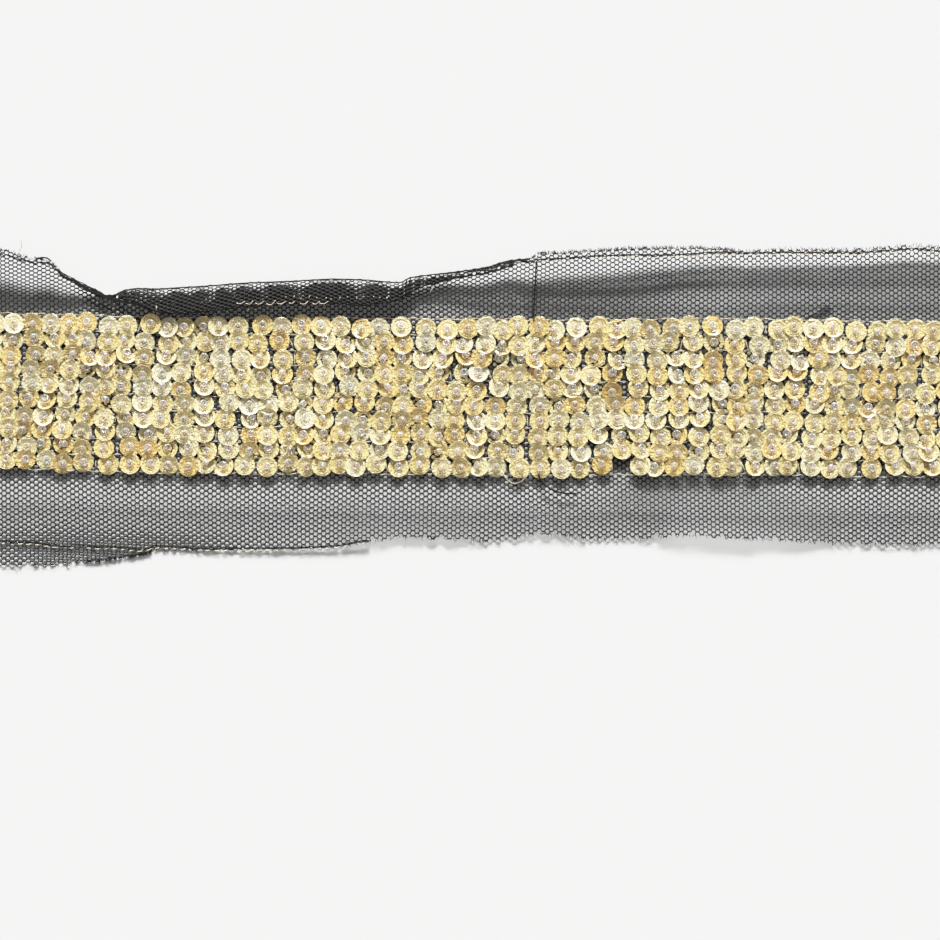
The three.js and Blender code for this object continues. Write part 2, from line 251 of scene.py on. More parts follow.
def smooth_line(points, steps):
    """A centripetal Catmull-Rom line through each row of points, with steps to a span."""
    first = 2 * points[:, :1] - points[:, 1:2]
    last = 2 * points[:, -1:] - points[:, -2:-1]
    p = np.concatenate([first, points, last], axis=1)
    gap = np.sqrt(np.linalg.norm(np.diff(p, axis=1), axis=2))[..., None]
    line = []
    for k in range(points.shape[1] - 1):
        p0, p1, p2, p3 = (p[:, k + i] for i in range(4))
        d0, d1, d2 = (gap[:, k + i] for i in range(3))
        out = ((p1 - p0) / d0 - (p2 - p0) / (d0 + d1) + (p2 - p1) / d1) * d1
        into = ((p2 - p1) / d1 - (p3 - p1) / (d1 + d2) + (p3 - p2) / d2) * d1
        line += [between(t, p1, p2, out, into) for t in np.arange(steps) / steps]
    return np.stack([*line, points[:, -1]], axis=1)


class Cloth:
    """The tulle's surface. u runs along the trim, and v is the distance over the cloth from the
    middle of the band, which is how a flat net is laid on its folds."""

    U_STEP = 0.5
    V_STEP = 0.2
    U_END = 118.0
    V_END = 50.0
    SPAN_STEPS = 24
    SPARE = 6.0  # how far the surface goes on past the raw edges

    def __init__(self):
        self.us = np.arange(-self.U_END, self.U_END + self.U_STEP / 2, self.U_STEP)
        self.vs = np.arange(-self.V_END, self.V_END + self.V_STEP / 2, self.V_STEP)
        stations = np.clip(self.us, SECTION_ROWS[0][0], SECTION_ROWS[-1][0])
        line = smooth_line(profile_points(stations), self.SPAN_STEPS)
        line[..., 1] = np.maximum(line[..., 1], 0)
        band, crest, edge = (section_values(name, stations) for name in ("bandY", "crestY", "edgeY"))
        self.low, self.crest, self.high = np.empty((3, len(self.us)))
        self.grid = np.empty((len(self.us), len(self.vs), 3))
        for i, points in enumerate(line):
            run = np.concatenate([[0], np.cumsum(np.linalg.norm(np.diff(points, axis=0), axis=1))])
            flat = slice(0, 3 * self.SPAN_STEPS)
            run -= np.interp(band[i], points[flat, 0], run[flat])
            self.low[i], self.high[i] = run[0], run[-1]
            flap = crest[i] - edge[i]
            turned = HEM_TURN * flap * np.interp(flap, [HEM_FROM, HEM_FULL], [0, 1])
            if turned > 0.2:
                points, run = self.turn_in(points, run, turned)
                self.high[i] = run[-1]
            self.crest[i] = run[np.argmax(points[:, 0])]
            start = points[0] - (points[1] - points[0]) / (run[1] - run[0]) * self.SPARE
            end = points[-1] + (points[-1] - points[-2]) / (run[-1] - run[-2]) * self.SPARE
            run = np.concatenate([[run[0] - self.SPARE], run, [run[-1] + self.SPARE]])
            points = np.concatenate([[start], points, [end]])
            self.grid[i, :, 0] = self.us[i]
            self.grid[i, :, 1] = np.interp(self.vs, run, points[:, 0])
            self.grid[i, :, 2] = np.interp(self.vs, run, points[:, 1])
        self.under = edge - band
        for i, top in enumerate(self.crest):
            z = self.grid[i, :, 2]
            rise = np.interp(self.vs, [BAND_EDGE, top], np.interp([BAND_EDGE, top], self.vs, z))
            here = (self.vs > BAND_EDGE) & (self.vs < top)
            z[here] += EVEN_RISE * (rise - z)[here]
        self.grid[..., 2] += np.interp(self.vs, *np.transpose(NET_FLOAT))
        beyond = np.clip((self.vs - BAND_EDGE) / 2, 0, 1)
        for place, reach, share in DIPS:
            near = np.exp(-(((self.us - place) / reach) ** 2))[:, None]
            self.grid[..., 2] *= 1 - share * near * beyond
        along = np.gradient(self.grid, self.U_STEP, axis=0)
        across = np.gradient(self.grid, self.V_STEP, axis=1)
        out = np.cross(along, across)
        self.out = out / np.maximum(np.linalg.norm(out, axis=2, keepdims=True), 1e-6)

    @staticmethod
    def turn_in(points, run, length):
        """Carries a profile on round its raw edge and back under it by length."""
        ahead = points[-1] - points[-2]
        ahead /= np.linalg.norm(ahead)
        under = np.array([-ahead[1], ahead[0]])
        angles = np.arange(1, 7) * math.pi / 6
        curl = [
            points[-1] + HEM_CURL * (math.sin(a) * ahead + (1 - math.cos(a)) * under) for a in angles
        ]
        back = [curl[-1] - ahead * length * share for share in (0.25, 0.5, 0.75, 1.0)]
        more = np.array(curl + back)
        steps = np.linalg.norm(np.diff(np.concatenate([points[-1:], more]), axis=0), axis=1)
        return np.concatenate([points, more]), np.concatenate([run, run[-1] + np.cumsum(steps)])

    def _blend(self, table, u, v):
        a = np.clip((u + self.U_END) / self.U_STEP, 0, len(self.us) - 1.001)
        b = np.clip((v + self.V_END) / self.V_STEP, 0, len(self.vs) - 1.001)
        i, j = a.astype(int), b.astype(int)
        s, t = (a - i)[..., None], (b - j)[..., None]
        near = table[i, j] * (1 - t) + table[i, j + 1] * t
        far = table[i + 1, j] * (1 - t) + table[i + 1, j + 1] * t
        return near * (1 - s) + far * s

    def at(self, u, v, lift=0.0):
        """Points in mm on the cloth at u, v, raised off its face by lift."""
        u, v = np.broadcast_arrays(np.asarray(u, float), np.asarray(v, float))
        out = self._blend(self.out, u, v)
        lift = np.broadcast_to(np.asarray(lift, float), u.shape)[..., None]
        return self._blend(self.grid, u, v) + out * lift

    def thickness(self, uv):
        """How much thicker the net looks in the folded flap and below it, but not at its crest. Where the
        flap begins it is drawn thicker as painted shade of the fold.
        """
        u, v = uv[:, 0], uv[:, 1]
        past = v - np.interp(u, self.us, self.crest)
        hidden = v - np.interp(u, self.us, self.under)
        wide = np.interp(hidden - past, [NARROW_FLAP, WIDE_FLAP], [0, 1])
        flap = (FLAP_THREADS - 1) * np.clip((past - FLAP_LIGHT) / 0.6, 0, 1) * (0.3 + 0.7 * wide)
        under = (UNDER_THREADS - 1) * np.clip(hidden / 0.8, 0, 1) * (past < -FLAP_LIGHT)
        at_crest = (np.abs(past) <= FLAP_LIGHT) & (hidden > 0)
        crest = (np.where(past > 0, CREST_THREADS, CREST_UNDER) - 1) * at_crest * wide
        # painted shade: the net is drawn thicker where the flap begins, where the fold's shade falls
        near = CUSP_SHADE_THREADS * np.exp(-(((u - CUSP) / CUSP_REACH) ** 2)) * (v > BAND_EDGE)
        return 1 + flap + under + crest + near

    def edge(self, u, upper):
        return np.interp(u, self.us, self.high if upper else self.low)


def add_object(name, data):
    made = bpy.data.objects.new(name, data)
    bpy.context.scene.collection.objects.link(made)
    return made


def add_mesh(name, points, faces, material, attributes=()):
    """A smooth mesh of the object, given in mm, that rides on the trim's body."""
    mesh = bpy.data.meshes.new(name)
    count, size = faces.shape
    mesh.vertices.add(len(points))
    mesh.vertices.foreach_set("co", (np.asarray(points) * MM).astype(np.float32).ravel())
    mesh.loops.add(count * size)
    mesh.loops.foreach_set("vertex_index", faces.astype(np.int32).ravel())
    mesh.polygons.add(count)
    mesh.polygons.foreach_set("loop_start", np.arange(0, count * size, size, dtype=np.int32))
    mesh.polygons.foreach_set("use_smooth", np.ones(count, dtype=bool))
    mesh.update(calc_edges=True)
    for key, values in attributes:
        layer = mesh.attributes.new(key, "FLOAT", "POINT")
        layer.data.foreach_set("value", np.asarray(values, np.float32))
    mesh.materials.append(material)
    piece = add_object(name, mesh)
    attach(piece, "root")
    return piece


# A net node's points. A "left" node has its bar to the right of it. Corner 0 is between its two
# slanting threads, 1 above its bar and 2 below it.
TOP, BOTTOM, CORNER = 0, 1, 2
NODE_POINTS = 5


def net_nodes():
    """The lattice: u, v of the left and right nodes, and the pairs that a thread joins."""
    rng = np.random.default_rng(SEED)
    half_columns = int(NET_REACH[0] / COLUMN_PITCH)
    rows = int(NET_REACH[1] / CELL_HEIGHT)
    columns = np.arange(-half_columns, half_columns + 1)
    ks = np.arange(-rows, rows + 1)
    odd = (columns % 2)[:, None]
    v = (ks + 0.5 * odd + 0.5) * CELL_HEIGHT
    u = np.broadcast_to(columns[:, None] * COLUMN_PITCH, v.shape)
    left = np.arange(v.size).reshape(v.shape)
    right = left + v.size
    sides = [np.stack([u + side, v], -1).reshape(-1, 2) for side in (-BAR_HALF, BAR_HALF)]
    uv = np.concatenate(sides)
    slow = uv[:, 1] * 0.21 + uv[:, 0] * 0.05
    uv[:, 0] += 0.10 * np.sin(slow) + rng.normal(0, NET_LOOSE, len(uv))
    uv[:, 1] += waves(uv[:, 0], NET_WAVES) + rng.normal(0, NET_LOOSE, len(uv))
    lost = np.interp(uv[:, 0], *np.transpose(GATHER))
    uv[:, 1] -= lost * np.maximum(uv[:, 1] - GATHER_FROM, 0)
    bars = np.stack([left.ravel(), right.ravel()], -1)
    ups, downs = [], []
    for i in range(len(columns) - 1):
        for found, shift in ((ups, odd[i, 0]), (downs, odd[i, 0] - 1)):
            k = np.arange(len(ks)) + shift
            fits = (k >= 0) & (k < len(ks))
            found.append(np.stack([right[i, fits], left[i + 1, k[fits]]], -1))
    return uv, bars, np.concatenate(ups), np.concatenate(downs)


def ragged_cut(cloth, uv, threads):
    """Which nodes are kept along the raw edges, with the cut threads' ends drawn in."""
    rng = np.random.default_rng(SEED + 1)
    u, v = uv[:, 0], uv[:, 1]
    fray = waves(u, CUT_WAVES)
    inside = v > cloth.edge(u, False) + CUT_INSET + fray
    inside &= v < cloth.edge(u, True) - CUT_INSET + fray
    inside &= np.abs(u) < CUT_END
    a, b = threads[:, 0], threads[:, 1]
    touches = np.zeros(len(uv), int)
    inner = np.full(len(uv), -1)
    for here, there in ((a, b), (b, a)):
        cut = inside[here] & ~inside[there]
        np.add.at(touches, there[cut], 1)
        inner[there[cut]] = here[cut]
    stub = (~inside) & (touches > 0) & (rng.random(len(uv)) < STUB_SHARE)
    lone = np.flatnonzero(stub & (touches == 1))
    reach = rng.uniform(0.35, 1.05, len(lone))[:, None]
    bent = rng.normal(0, 0.09, (len(lone), 2))
    uv[lone] = uv[inner[lone]] + (uv[lone] - uv[inner[lone]]) * reach + bent
    lift = np.zeros(len(uv))
    lift[lone] = rng.uniform(-0.05, 0.5, len(lone)) * reach[:, 0]
    return inside, inside | stub, lift


def net_corners(is_left, tip, thicker):
    """Corner points of a node's star, as u, v offsets."""
    bar_thread, slant_thread = BAR_THREAD * thicker, SLANT_THREAD * thicker
    slant = math.atan2(CELL_HEIGHT / 2, COLUMN_PITCH - 2 * BAR_HALF)
    front = slant_thread / math.sin(slant)
    run = (bar_thread - slant_thread * math.cos(slant)) / math.sin(slant)
    back = -slant_thread * math.sin(slant) + run * math.cos(slant)
    width = np.where(tip, TIP_WIDTH, 1.0)
    side = np.where(is_left, -1.0, 1.0) * width
    high = width * bar_thread
    corners = ((side * front, 0 * side), (side * back, high), (side * back, -high))
    return np.stack([np.stack(corner, -1) for corner in corners], axis=1)


def thread_faces(a, b, a_left, a_right, b_left, b_right):
    """Four sides of the threads from nodes a to b. The corners are given for each thread's left
    and right, seen along it from above."""
    pa, pb = a * NODE_POINTS, b * NODE_POINTS
    al, ar = pa + CORNER + a_left, pa + CORNER + a_right
    bl, br = pb + CORNER + b_left, pb + CORNER + b_right
    top = [(pa + TOP, pb + TOP, bl, al), (pb + TOP, pa + TOP, ar, br)]
    bottom = [(pb + BOTTOM, pa + BOTTOM, al, bl), (pa + BOTTOM, pb + BOTTOM, br, ar)]
    return np.concatenate([np.stack(side, -1) for side in top + bottom])


def end_faces(nodes, left, right):
    """Closes a node where one of its threads isn't there."""
    p = nodes * NODE_POINTS
    return np.stack([p + TOP, p + CORNER + right, p + BOTTOM, p + CORNER + left], -1)


def build_net(cloth, material):
    """The tulle as real threads, in three meshes along the trim: the two margins and the band."""
    uv, *kinds = net_nodes()
    threads = np.concatenate(kinds)
    starts = np.cumsum([len(pairs) for pairs in kinds])[:-1]
    inside, kept, lift = ragged_cut(cloth, uv, threads)
    middle_v = (uv[threads[:, 0], 1] + uv[threads[:, 1], 1]) / 2
    shown = kept[threads].all(axis=1) & inside[threads].any(axis=1)
    is_left = np.arange(len(uv)) < len(uv) // 2
    rng = np.random.default_rng(SEED + 2)
    lift += rng.normal(0, NET_UNEVEN, len(uv))
    pieces = []
    for name, low, high, thicker, covered in ZONES:
        here = np.split(shown & (middle_v >= low) & (middle_v < high), starts)
        lists = [pairs[part] for pairs, part in zip(kinds, here)]
        has, meets = np.zeros((2, 3, len(uv)), bool)
        for kind, pairs in enumerate(lists):
            has[kind, pairs[:, 0]] = True
            meets[kind, pairs[:, 1]] = True
        # A left node's bar starts there and its slants end there. A right node is the other way.
        bar_there = np.where(is_left, has[0], meets[0])
        up_there = np.where(is_left, meets[2], has[1])
        down_there = np.where(is_left, meets[1], has[2])
        used = bar_there | up_there | down_there
        order = np.flatnonzero(used)
        number = np.full(len(uv), -1)
        number[order] = np.arange(len(order))
        tip = (bar_there.astype(int) + up_there + down_there)[order] == 1
        base = uv[order]
        looks = cloth.thickness(base)
        corners = net_corners(is_left[order], tip, thicker * looks)
        rise = lift[order]
        thick = np.where(tip, TIP_THICKNESS, 1.0) * NET_THICKNESS / 2 * np.minimum(looks, 1)
        points = np.empty((len(order), NODE_POINTS, 3))
        points[:, TOP] = cloth.at(*base.T, rise + thick)
        points[:, BOTTOM] = cloth.at(*base.T, rise - thick)
        for c in range(3):
            points[:, CORNER + c] = cloth.at(*(base + corners[:, c]).T, rise)
        b, up, down = (number[pairs] for pairs in lists)
        faces = [
            thread_faces(b[:, 0], b[:, 1], 1, 2, 1, 2),
            thread_faces(up[:, 0], up[:, 1], 1, 0, 0, 2),
            thread_faces(down[:, 0], down[:, 1], 0, 2, 1, 0),
        ]
        for there, left, right in ((bar_there, 1, 2), (up_there, 0, 1), (down_there, 2, 0)):
            for side, corners in ((is_left, (left, right)), (~is_left, (right, left))):
                open_nodes = number[np.flatnonzero(used & side & ~there)]
                faces.append(end_faces(open_nodes, *corners))
        flat_points = points.reshape(-1, 3)
        flat_points[:, 2] = np.maximum(flat_points[:, 2], 0.01)
        piece = add_mesh(name, flat_points, np.concatenate(faces), material)
        spread = [max(low, float(cloth.low.min())), min(high, float(cloth.high.max()))]
        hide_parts("tulle_ground")
        pieces.append((piece, spread, covered))
    return pieces


def scatter(row, column, kind):
    """A repeatable scatter from -1 to 1 for a sequin's row and column."""
    wave = math.sin(row * 12.9898 + column * 78.233 + kind * 37.719) * 43758.5453
    return 2 * (wave - math.floor(wave)) - 1


def sequin_x(row, column):
    """Where along the trim a sequin is, as in the CAD."""
    even = (column + 0.5 - SEQUIN_COUNT / 2) * SEQUIN_PITCH
    if column in (0, SEQUIN_COUNT - 1):
        return even
    long_wave = LEAN_LONG * math.sin(0.31 * column + 0.45 * row)
    short_wave = LEAN_SHORT * math.sin(0.83 * column - 0.7 * row)
    return even + long_wave + short_wave + LEAN_LOOSE * scatter(row, column, 1)


def row_y(row, x):
    return float(section_values("bandY", x)) + ((ROW_COUNT - 1) / 2 - row) * ROW_PITCH


def band_lift(x):
    return float(section_values("bandZ", x))


def place_sequins():
    """Row, column, foot and tilt of each cup. Each pair of neighbours is set one over the other,
    and each cup's tilt follows from which of its neighbours it lies on."""

    def way(row, column, kind, share=0.0):
        return 1 if scatter(row, column, kind) > share else -1

    cups = []
    for row in range(ROW_COUNT):
        for column in range(SEQUIN_COUNT):
            if (row, column) == MISSING:
                continue
            x = sequin_x(row, column)
            y = row_y(row, x) + ROW_LOOSE * scatter(row, column, 3)
            low = ROW_STEP * way(row, column, 2, -0.1) if row < ROW_COUNT - 1 else 0
            high = -ROW_STEP * way(row - 1, column, 2, -0.1) if row else 0
            before = sequin_x(row, column - 1) if column else x - 99
            after = sequin_x(row, column + 1) if column < SEQUIN_COUNT - 1 else x + 99
            crowd = np.clip(2 * SEQUIN_RADIUS - np.array([x - before, after - x]), 0, 1)
            left = -COLUMN_STEP * crowd[0] * way(row, column - 1, 4)
            right = COLUMN_STEP * crowd[1] * way(row, column, 4)
            rise = (low + high + left + right) / 4
            lean_x = math.atan2(right - left, 2 * SEQUIN_RADIUS) + TILT_LOOSE * scatter(row, column, 6)
            lean_y = math.atan2(high - low, 2 * SEQUIN_RADIUS) + TILT_LOOSE * scatter(row, column, 5)
            foot = np.array([x, y, CUP_FOOT + band_lift(x) + rise])
            cups.append((row, column, foot, lean_x, lean_y))
    return cups


def tilt_matrix(lean_x, lean_y, turn=0.0):
    """Turns about Z, then leans so that +X rises by lean_x and +Y by lean_y."""
    turns = ((lean_y, "X"), (-lean_x, "Y"), (turn, "Z"))
    about_x, about_y, spin = (np.array(Matrix.Rotation(angle, 3, axis)) for angle, axis in turns)
    return about_x @ about_y @ spin


def ring_faces(first, second, steps):
    """Quads between the rings of points that start at first and at second."""
    k = np.arange(steps)
    n = np.roll(k, -1)
    i, j = first[:, None], second[:, None]
    return np.stack([i + k, i + n, j + n, j + k], -1).reshape(-1, 4)


def turned_shell(profile, steps):
    """Points and faces of a closed ring of revolution. The profile is a loop of (radius, height)."""
    angle = np.arange(steps) * 2 * math.pi / steps
    ring = np.stack([np.cos(angle), np.sin(angle)], -1)
    profile = np.array(profile)
    points = np.empty((len(profile), steps, 3))
    points[..., :2] = profile[:, None, :1] * ring[None]
    points[..., 2] = profile[:, 1:2]
    rings = np.arange(len(profile)) * steps
    return points.reshape(-1, 3), ring_faces(rings, np.roll(rings, -1), steps)


def cup_profile():
    """Down the outer side from the rim to the hole, and back up the inner side."""
    foot = [(HOLE_RADIUS, 0.06), (0.80, 0.06), (1.10, 0.12)]
    side = [(1.46, 0.29), (1.78, 0.48), (2.12, 0.58), (SEQUIN_RADIUS, CUP_DEPTH)]
    inner = foot + side
    return [(r, z - CUP_FILM) for r, z in inner] + inner[::-1]


def add_copies(name, copies, faces, tones, material, attributes=()):
    """One mesh of many copies of a form, each with its tone."""
    size = len(copies[0])
    every = np.concatenate([faces + k * size for k in range(len(copies))])
    attributes = [("tone", np.repeat(tones, size)), *attributes]
    return add_mesh(name, np.concatenate(copies), every, material, attributes)


def build_sequins(cups, material):
    """One mesh of cups for each row."""
    shell, faces = turned_shell(cup_profile(), CUP_STEPS)
    reach = np.linalg.norm(shell[:, :2], axis=1) / SEQUIN_RADIUS
    angle = np.arctan2(shell[:, 1], shell[:, 0])
    for row in range(ROW_COUNT):
        copies, tones = [], []
        for _, column, foot, lean_x, lean_y in (c for c in cups if c[0] == row):
            cup = shell.copy()
            oval = 1 + CUP_OVAL * scatter(row, column, 8)
            cup[:, 0] *= oval
            cup[:, 1] /= oval
            bend = CUP_BEND * scatter(row, column, 9)
            cup[:, 2] += bend * reach**2 * np.cos(2 * angle + 3 * scatter(row, column, 10))
            turn = math.pi * scatter(row, column, 7)
            copies.append(cup @ tilt_matrix(lean_x, lean_y, turn).T + foot)
            tones.append(0.5 + 0.5 * scatter(row, column, 11))
        name = f"sequins_{row + 1:02d}"
        reaches = [("reach", np.tile(reach, len(copies)))]
        piece = add_copies(name, copies, faces, tones, material, reaches)
        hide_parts(f"sequin_row_{row + 1:02d}")


def squared(value):
    return math.copysign(abs(value) ** BEAD_SQUARE, value)


def build_beads(cups, material):
    """A seed bead in each cup, most with the hole up and some on their sides."""
    angle = np.arange(BEAD_RING_STEPS) * 2 * math.pi / BEAD_RING_STEPS + math.pi / 2
    wall = (BEAD_RADIUS - BEAD_HOLE) / 2
    half = BEAD_HEIGHT / 2
    section = [(BEAD_HOLE + wall * (1 + squared(math.cos(a))), half * squared(math.sin(a))) for a in angle]
    shell, faces = turned_shell(section[::-1], BEAD_STEPS)
    copies, tones = [], []
    for row, column, foot, lean_x, lean_y in cups:
        size = 1 + BEAD_LOOSE * scatter(row, column, 14)
        bead = shell * size
        if scatter(row, column, 12) > BEAD_ON_SIDE:
            bead = bead[:, [2, 1, 0]] * (1, 1, -1)
            height = BEAD_RADIUS * size + 0.06
        else:
            wobble = (BEAD_WOBBLE * scatter(row, column, kind) for kind in (15, 16))
            bead = bead @ tilt_matrix(*wobble).T
            height = half * size + 0.10
        lean = tilt_matrix(lean_x, lean_y, math.pi * scatter(row, column, 13))
        copies.append(bead @ lean.T + lean @ (0, 0, height) + foot)
        tones.append(0.5 + 0.5 * scatter(row, column, 17))
    add_copies("seed_beads", copies, faces, tones, material)


# Radii of the threads, and what share of it is left at their tips
ROW_THREAD, BEAD_THREAD_AND_REFLECTION, FOLD_THREAD, SLIP_THREAD, ROOT_THREAD = 0.09, 0.2, 0.10, 0.035, 0.11
STITCH_DARK, STITCH_BESIDE, STITCH_LIGHT = 0.13, 0.12, 0.1
DOT_THREAD, CURL_THREAD, FRINGE_THREAD, DARK_STREAK_THREAD = 0.085, 0.075, 0.075, 0.07
LOOSE_DARK, LOOSE_LIGHT = 0.19, 0.12
TIP_SHARE = 0.35


class ThreadMesh:
    """Collects round threads, which become one mesh."""

    def __init__(self, sides=5):
        self.sides = sides
        self.points, self.faces, self.ends, self.count = [], [], [], 0

    def add(self, path, radius):
        """A closed tube along path, a list of points in mm."""
        path = np.asarray(path, float)
        along = np.gradient(path, axis=0)
        along /= np.linalg.norm(along, axis=1, keepdims=True)
        up = np.array([0.0, 0.0, 1.0]) + 0.01 * along[:, [1, 2, 0]]
        side = np.cross(along, up)
        side /= np.linalg.norm(side, axis=1, keepdims=True)
        top = np.cross(side, along)
        angle = np.arange(self.sides) * 2 * math.pi / self.sides
        cosine, sine = np.cos(angle)[None, :, None], np.sin(angle)[None, :, None]
        ring = cosine * side[:, None] + sine * top[:, None]
        thick = np.full(len(path), float(radius))
        thick[[0, -1]] *= TIP_SHARE
        tube = path[:, None] + ring * thick[:, None, None]
        rings = self.count + np.arange(len(path)) * self.sides
        self.faces.append(ring_faces(rings[1:], rings[:-1], self.sides))
        self.points.append(tube.reshape(-1, 3))
        self.ends += [(rings[0], 1), (rings[-1], -1)]
        self.count += len(path) * self.sides

    def build(self, name, material):
        points = np.concatenate(self.points)
        quads = np.concatenate(self.faces)
        faces = [quads[:, [1, 2, 3]], quads[:, [1, 3, 0]]]
        tips = []
        for first, way in self.ends:
            ring = first + np.arange(self.sides)
            tip = np.full(self.sides, len(points) + len(tips))
            tips.append(points[ring].mean(axis=0))
            faces.append(np.stack([tip, ring, np.roll(ring, -1)], -1)[:, ::way])
        points = np.concatenate([points, tips])
        add_mesh(name, points, np.concatenate(faces), material)


def build_row_threads(material):
    """The cream threads that the rows are sewn on with, seen between the cups."""
    threads = ThreadMesh(sides=4)
    xs = np.arange(-113.5, 113.6, 1.1)
    for line in range(ROW_COUNT + 1):
        offset = ((ROW_COUNT - 1) / 2 - line + 0.5) * ROW_PITCH
        offset += {0: 0.25, ROW_COUNT: -0.25}.get(line, 0)
        ys = section_values("bandY", xs) + offset
        ys += waves(xs, ((0.16, 0.9, line), (0.10, 2.3, 2 * line)))
        zs = CUP_FOOT + 0.24 + section_values("bandZ", xs) + waves(xs, ((0.07, 1.44, line),))
        placed = np.stack([xs, ys, zs], -1)
        for k in range(0, len(xs) - 3, 3):
            if scatter(line, k, 19) > -0.3 or line in (0, ROW_COUNT):
                threads.add(placed[k : k + 4], ROW_THREAD)
    t = np.linspace(-1, 1, 5)
    for row in range(ROW_COUNT):
        for column in range(SEQUIN_COUNT - 1):
            if scatter(row, column, 20) < 0.4:
                continue
            x = (sequin_x(row, column) + sequin_x(row, column + 1)) / 2
            half = ROW_PITCH * (0.32 + 0.14 * scatter(row, column, 22))
            xs = x + 0.35 * scatter(row, column, 21) * t
            zs = CUP_FOOT + 0.16 + band_lift(x) + 0.16 * (1 - t * t)
            threads.add(np.stack([xs, row_y(row, x) - 0.5 + half * t, zs], -1), ROW_THREAD)
    threads.build("row_threads", material)


def build_bead_threads(cups, material):
    """The thread that comes up through each cup and bead. It nearly fills the bead's hole and reaches the
    bead's top, so its cream is partly a painted reflection of the gold below.
    """
    threads = ThreadMesh(sides=4)
    for row, column, foot, lean_x, lean_y in cups:
        out = tilt_matrix(lean_x, lean_y)[:, 2]
        # painted reflection: the thread's cream top fills the bead's hole up to the bead's top
        heights = (-0.35, 0.3, 1.57 + 0.1 * scatter(row, column, 18))
        threads.add([foot + out * h for h in heights], BEAD_THREAD_AND_REFLECTION)
    threads.build("bead_threads", material)


# The stitch lines of the margins: pixel along the photograph, and distance from the raw edge
LEFT_STITCH = ((-50, 1.3), (20, 1.2), (60, 0.9), (104, 0.4))
RIGHT_STITCH = (
    (505, 1.1), (545, 1.6), (600, 1.45), (655, 1.9), (693, 1.65), (743, 0.55), (797, 1.0),
    (840, 0.9), (990, 1.1),
)
LOWER_STITCH = (
    (-50, 5.3), (0, 5.3), (36, 5.0), (73, 3.9), (109, 2.9), (149, 0.85), (190, 0.5), (250, 0.3),
    (372, 0.2),
)
STITCH_LENGTH, STITCH_END = 1.9, 114.3


def photo_x(pixel):
    return (pixel - PIXELS / 2) / PIXELS_PER_MM


def photo_point(px, py):
    return photo_x(px), (ZERO_PIXEL - py) / PIXELS_PER_MM


def stitch_line(table, upper, cloth):
    us = np.arange(photo_x(table[0][0]), photo_x(table[-1][0]), STITCH_LENGTH / 8)
    us = us[np.abs(us) < STITCH_END]
    inset = np.interp(us, [photo_x(p) for p, _ in table], [d for _, d in table])
    return us, cloth.edge(us, upper) + (-inset if upper else inset)


def build_stitches(cloth, black, cream):
    """The stitch lines of the margins: a wavy black thread, and cream stitches beside some of it."""
    dark = ThreadMesh(sides=4)
    light = ThreadMesh(sides=4)
    for kind, (table, upper, has_cream) in enumerate(
        ((LEFT_STITCH, True, False), (RIGHT_STITCH, True, True), (LOWER_STITCH, False, True))
    ):
        us, vs = stitch_line(table, upper, cloth)
        beat = us / STITCH_LENGTH * 2 * math.pi
        over = 0.22 + 0.08 * np.sin(beat)
        wave = waves(beat, ((0.07, 0.5, 0), (0.09, 1.37, 1), (0.05, 3.1, 0)))
        for start in range(0, len(us) - 9, 40):
            part = slice(start, min(start + 41, len(us)))
            dark.add(cloth.at(us[part], vs[part] + 1.5 * wave[part], over[part]), STITCH_DARK)
            beside = vs[part] - wave[part] + 0.14
            dark.add(cloth.at(us[part], beside, over[part] * 0.6), STITCH_BESIDE)
        if not has_cream:
            continue
        count = int((us[-1] - us[0]) / STITCH_LENGTH)
        for s in range(count):
            pull = scatter(s, kind, 30)
            if pull < -0.7:
                continue
            length = STITCH_LENGTH * (0.6 + 0.2 * pull)
            t = np.linspace(0, 1, 6)
            u = us[0] + (s + 0.5) * STITCH_LENGTH + length * (t - 0.5)
            v = np.interp(u, us, vs) - 0.40 + 0.16 * (t - 0.5) * (1 + pull)
            light.add(cloth.at(u, v, 0.2 + 0.22 * np.sin(math.pi * t)), STITCH_LIGHT)
    add_fold_lines(cloth, dark)
    add_slips(dark)
    add_flap_stitches(light)
    dark.build("margin_stitches_black", black)
    light.build("margin_stitches_cream", cream)


# Where the crest of the upper margin is drawn together, in pixels along the photograph, and how
# far its threads are from the crest in mm
FOLD_LINES = (
    (58, 90, (0.05, 0.3, 0.6, 0.9)),
    (108, 240, (0.0, 0.15, 0.3)),
    (225, 480, (0.0, 0.15, 0.3)),
    (465, 530, (0.0, 0.22, 0.44, 0.66, 0.88)),
)
# The thin turned edge on each side of where the fold begins, in pixels
SLIPS = (
    ((84, 285.5), (94, 290.0), (103, 294.0), (111, 297.0)),
    ((113, 296.5), (121, 292.0), (131, 289.0), (145, 288.6), (158, 289.6)),
)
SLIP_THREADS, SLIP_WIDTH = 7, 5.0


def add_slips(threads):
    for slip in SLIPS:
        for k in range(SLIP_THREADS):
            inset = SLIP_WIDTH * k / (SLIP_THREADS - 1)
            bow = [math.sin(math.pi * i / (len(slip) - 1)) for i in range(len(slip))]
            line = [(px, py + inset * b, 1.7) for (px, py), b in zip(slip, bow)]
            threads.add(curve_through(line, 6), SLIP_THREAD)


def add_fold_lines(cloth, threads):
    for first, last, insets in FOLD_LINES:
        us = np.arange(photo_x(first), photo_x(last), 0.6)
        crest = np.interp(us, cloth.us, cloth.crest)
        crest = np.minimum(crest, cloth.edge(us, True) - 0.1)
        for k, inset in enumerate(insets):
            wave = waves(us, ((0.06, 2.1, 2 * k), (0.05, 5.3, k)))
            threads.add(cloth.at(us, crest - inset + wave, 0.05), FOLD_THREAD)


# The cream dots on the folded flap and the curls below them, in pixels: how many, where the first
# one is, how far apart they are, and their line's height
DOTS = (14, 286, 7.9, 298)
CURLS = (9, 240, 10.7, 303)


